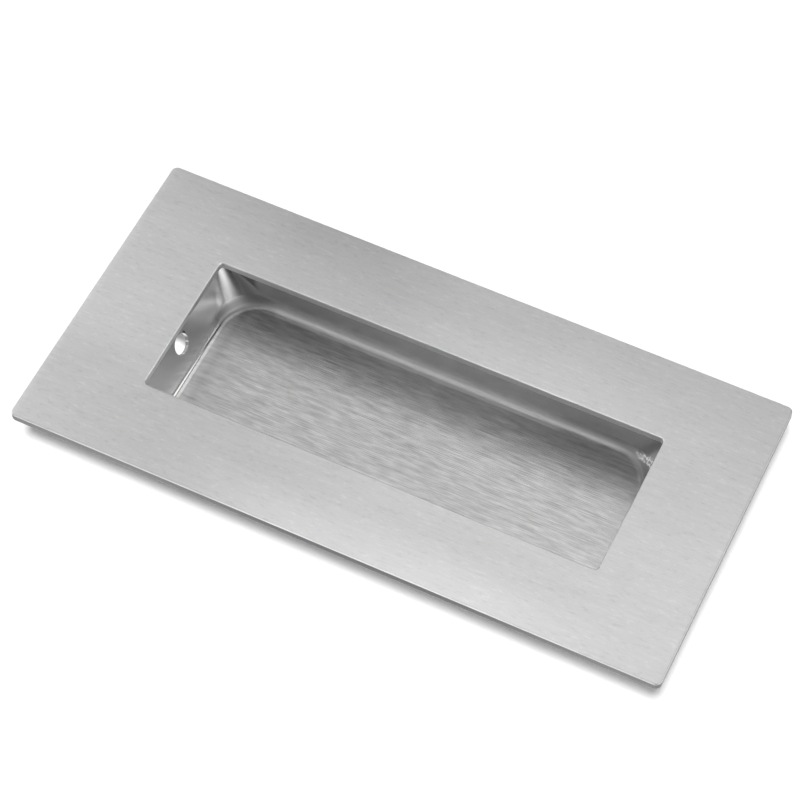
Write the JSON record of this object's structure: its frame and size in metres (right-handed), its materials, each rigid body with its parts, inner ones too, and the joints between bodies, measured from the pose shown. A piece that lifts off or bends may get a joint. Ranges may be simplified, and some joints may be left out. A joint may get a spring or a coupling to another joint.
{
  "type": "recessed pull handle",
  "caption": "Flush pull for a sliding door or drawer: flat rectangular steel plate with a finger cup behind its opening, fixed by screws through the cup's slanted ends.",
  "frame": {"origin": "middle of the face plate, in the plane of its back face, which seats on the door", "axes": "+Z out of the door towards the hand, +X along the handle's length, +Y across it"},
  "size_m": [0.15, 0.075, 0.0165],
  "materials": {
    "plate_steel": "brushed along the length, satin",
    "cup_steel": "pressed sheet, brushed floor, smoother walls and bends",
    "weld_steel": "weld metal, lightly tinted by heat"
  },
  "bodies": {
    "root": {"face_plate": "plate_steel", "recess_cup": "cup_steel", "weld_tacks": "weld_steel"}
  },
  "joints": []
}
